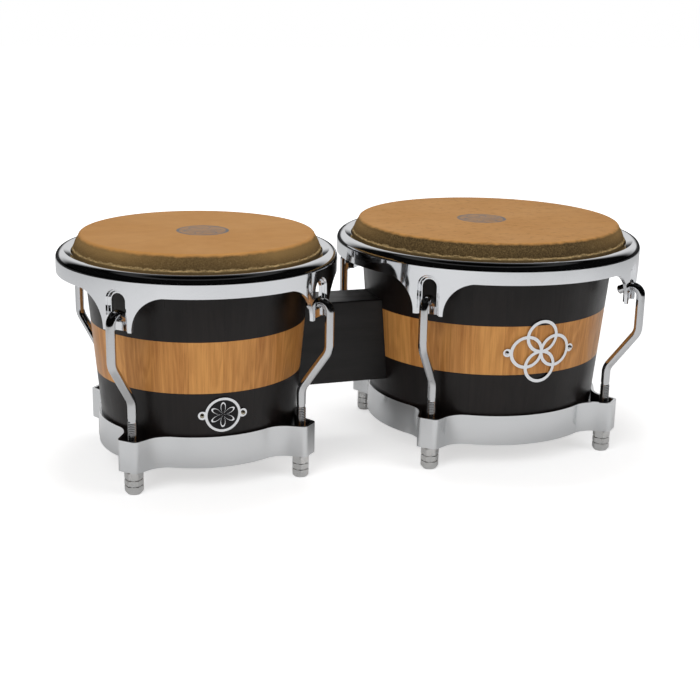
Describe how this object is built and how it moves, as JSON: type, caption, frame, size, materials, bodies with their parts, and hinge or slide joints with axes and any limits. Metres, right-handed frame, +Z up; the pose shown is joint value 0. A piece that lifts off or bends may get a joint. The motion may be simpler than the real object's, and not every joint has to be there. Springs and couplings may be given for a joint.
{
  "type": "bongo drums",
  "caption": "Pair of tapered wooden hand drums on a centre block, with skin heads held by rolled rims, hooked rods and nut feet.",
  "frame": {"origin": "centre of the overall box, on the plane the eight nut feet stand on", "axes": "+X along the pair from the small drum to the large drum, +Y to the back, +Z up through the playing surfaces"},
  "size_m": [0.4908, 0.2566, 0.1888],
  "materials": {
    "stained_wood": "dark stained staves with a natural golden band, clear satin lacquer",
    "block_wood": "dark stained, satin lacquer",
    "skin": "matt natural hide, tan",
    "chrome": "mirror chrome plate",
    "hoop_plate": "satin chrome plate",
    "nut_plate": "zinc plated, turned",
    "steel": "plain steel",
    "badge_enamel": "black enamel in a bright metal ring"
  },
  "bodies": {
    "root": {"small_shell": "stained_wood", "small_head": "skin", "small_flesh_hoop": "steel", "small_rim": "chrome", "small_bottom_hoop": "hoop_plate", "small_washers": "steel", "small_block_plate": "steel", "small_block_bolts": "steel", "large_shell": "stained_wood", "large_head": "skin", "large_flesh_hoop": "steel", "large_rim": "chrome", "large_bottom_hoop": "hoop_plate", "large_washers": "steel", "large_block_plate": "steel", "large_block_bolts": "steel", "centre_block": "block_wood", "small_badge": "badge_enamel", "small_badge_pins": "chrome", "large_emblem": "chrome", "large_emblem_pins": "chrome"},
    "small_rod_1_body": {"small_rod_1": "chrome"},
    "small_rod_2_body": {"small_rod_2": "chrome"},
    "small_rod_3_body": {"small_rod_3": "chrome"},
    "small_rod_4_body": {"small_rod_4": "chrome"},
    "small_nut_1_body": {"small_nut_1": "nut_plate"},
    "small_nut_2_body": {"small_nut_2": "nut_plate"},
    "small_nut_3_body": {"small_nut_3": "nut_plate"},
    "small_nut_4_body": {"small_nut_4": "nut_plate"},
    "large_rod_1_body": {"large_rod_1": "chrome"},
    "large_rod_2_body": {"large_rod_2": "chrome"},
    "large_rod_3_body": {"large_rod_3": "chrome"},
    "large_rod_4_body": {"large_rod_4": "chrome"},
    "large_nut_1_body": {"large_nut_1": "nut_plate"},
    "large_nut_2_body": {"large_nut_2": "nut_plate"},
    "large_nut_3_body": {"large_nut_3": "nut_plate"},
    "large_nut_4_body": {"large_nut_4": "nut_plate"}
  },
  "joints": [
    {"name": "small_nut_1_turn", "type": "hinge", "parent": "root", "child": "small_nut_1_body", "pos_m": [-0.06801, 0.06654, 0.009], "axis": [0, 0, 1], "range_deg": [0, 1440]},
    {"name": "small_rod_1_lift", "type": "slide", "parent": "root", "child": "small_rod_1_body", "axis": [0, 0, 1], "range_m": [0, 0.00564]},
    {"name": "small_nut_2_turn", "type": "hinge", "parent": "root", "child": "small_nut_2_body", "pos_m": [-0.20109, 0.06654, 0.009], "axis": [0, 0, 1], "range_deg": [0, 1440]},
    {"name": "small_rod_2_lift", "type": "slide", "parent": "root", "child": "small_rod_2_body", "axis": [0, 0, 1], "range_m": [0, 0.00564]},
    {"name": "small_nut_3_turn", "type": "hinge", "parent": "root", "child": "small_nut_3_body", "pos_m": [-0.20109, -0.06654, 0.009], "axis": [0, 0, 1], "range_deg": [0, 1440]},
    {"name": "small_rod_3_lift", "type": "slide", "parent": "root", "child": "small_rod_3_body", "axis": [0, 0, 1], "range_m": [0, 0.00564]},
    {"name": "small_nut_4_turn", "type": "hinge", "parent": "root", "child": "small_nut_4_body", "pos_m": [-0.06801, -0.06654, 0.009], "axis": [0, 0, 1], "range_deg": [0, 1440]},
    {"name": "small_rod_4_lift", "type": "slide", "parent": "root", "child": "small_rod_4_body", "axis": [0, 0, 1], "range_m": [0, 0.00564]},
    {"name": "large_nut_1_turn", "type": "hinge", "parent": "root", "child": "large_nut_1_body", "pos_m": [0.19596, 0.07891, 0.009], "axis": [0, 0, 1], "range_deg": [0, 1440]},
    {"name": "large_rod_1_lift", "type": "slide", "parent": "root", "child": "large_rod_1_body", "axis": [0, 0, 1], "range_m": [0, 0.00564]},
    {"name": "large_nut_2_turn", "type": "hinge", "parent": "root", "child": "large_nut_2_body", "pos_m": [0.03814, 0.07891, 0.009], "axis": [0, 0, 1], "range_deg": [0, 1440]},
    {"name": "large_rod_2_lift", "type": "slide", "parent": "root", "child": "large_rod_2_body", "axis": [0, 0, 1], "range_m": [0, 0.00564]},
    {"name": "large_nut_3_turn", "type": "hinge", "parent": "root", "child": "large_nut_3_body", "pos_m": [0.03814, -0.07891, 0.009], "axis": [0, 0, 1], "range_deg": [0, 1440]},
    {"name": "large_rod_3_lift", "type": "slide", "parent": "root", "child": "large_rod_3_body", "axis": [0, 0, 1], "range_m": [0, 0.00564]},
    {"name": "large_nut_4_turn", "type": "hinge", "parent": "root", "child": "large_nut_4_body", "pos_m": [0.19596, -0.07891, 0.009], "axis": [0, 0, 1], "range_deg": [0, 1440]},
    {"name": "large_rod_4_lift", "type": "slide", "parent": "root", "child": "large_rod_4_body", "axis": [0, 0, 1], "range_m": [0, 0.00564]}
  ],
  "couplings": [
    {"joint": "small_nut_1_turn", "follows": "small_rod_1_lift", "rad_per_m": 4456.1},
    {"joint": "small_nut_2_turn", "follows": "small_rod_2_lift", "rad_per_m": 4456.1},
    {"joint": "small_nut_3_turn", "follows": "small_rod_3_lift", "rad_per_m": 4456.1},
    {"joint": "small_nut_4_turn", "follows": "small_rod_4_lift", "rad_per_m": 4456.1},
    {"joint": "large_nut_1_turn", "follows": "large_rod_1_lift", "rad_per_m": 4456.1},
    {"joint": "large_nut_2_turn", "follows": "large_rod_2_lift", "rad_per_m": 4456.1},
    {"joint": "large_nut_3_turn", "follows": "large_rod_3_lift", "rad_per_m": 4456.1},
    {"joint": "large_nut_4_turn", "follows": "large_rod_4_lift", "rad_per_m": 4456.1}
  ]
}
